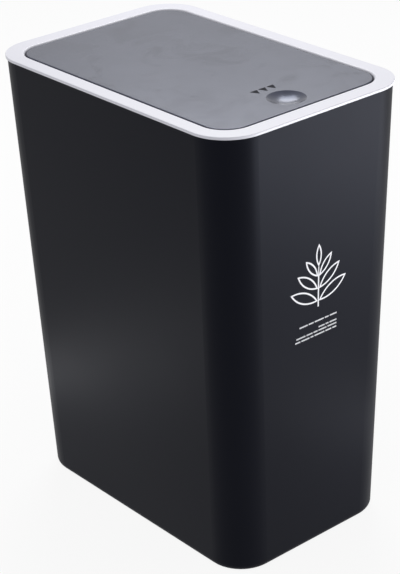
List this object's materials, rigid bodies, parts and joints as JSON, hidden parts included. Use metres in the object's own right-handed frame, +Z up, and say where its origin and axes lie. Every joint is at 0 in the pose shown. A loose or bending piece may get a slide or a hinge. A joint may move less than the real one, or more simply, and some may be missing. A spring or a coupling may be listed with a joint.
{
  "type": "push top bin",
  "caption": "Slim tapered kitchen bin with a lift-off framed cover and a push-to-open sprung lid on a hinge rod.",
  "frame": {"origin": "middle of the base, on the floor", "axes": "+Z up; -Y is the front, the short face where the lid is pressed; +Y is the hinge side; +X is the right side seen from the front"},
  "size_m": [0.1716, 0.2576, 0.3419],
  "materials": {
    "charcoal_plastic": "satin moulded polypropylene, fine texture",
    "white_plastic": "smooth semi-gloss moulded plastic",
    "grey_plastic": "satin moulded plastic",
    "black_plastic": "moulded polypropylene",
    "acetal": "smooth natural acetal",
    "steel": "zinc-plated steel",
    "spring_steel": "bright spring wire",
    "rubber": "soft moulded rubber"
  },
  "bodies": {
    "bin": {"bucket": "charcoal_plastic"},
    "cover": {"rim_frame": "white_plastic", "inner_frame": "black_plastic", "frame_screws": "steel", "rod_keeper_left": "black_plastic", "rod_keeper_right": "black_plastic", "lid_buffer_left": "rubber", "lid_buffer_right": "rubber", "latch_housing": "black_plastic", "latch_base": "black_plastic", "latch_screws": "steel", "latch_spring": "spring_steel", "hinge_rod": "steel", "lid_spring_left": "spring_steel", "lid_spring_right": "spring_steel"},
    "lid": {"lid_panel": "grey_plastic", "lid_striker": "acetal", "striker_screws": "steel"},
    "latch": {"latch_claw": "acetal"},
    "wire": {"latch_wire": "spring_steel"}
  },
  "joints": [
    {"name": "cover_lift", "type": "slide", "parent": "bin", "child": "cover", "axis": [0, 0, 1], "range_m": [0, 0.06]},
    {"name": "lid_open", "type": "hinge", "parent": "cover", "child": "lid", "pos_m": [0, 0.0948, 0.3361], "axis": [-1, 0, 0], "range_deg": [-0.76, 80], "stiffness_Nm_per_rad": 0.175, "springref_deg": 30.5, "deforming": ["lid_spring_left", "lid_spring_right", "latch_claw"]},
    {"name": "latch_slide", "type": "slide", "parent": "cover", "child": "latch", "axis": [0, 0, 1], "range_m": [-0.0025, 0.005], "stiffness_N_per_m": 200, "deforming": ["latch_spring"]},
    {"name": "wire_swing", "type": "hinge", "parent": "cover", "child": "wire", "pos_m": [0, -0.0902, 0.2954], "axis": [0, 1, 0], "range_deg": [-5.18, 2.59]}
  ],
  "couplings": [
    {"joint": "wire_swing", "follows": "latch_slide", "rad_per_m": -18.06}
  ]
}
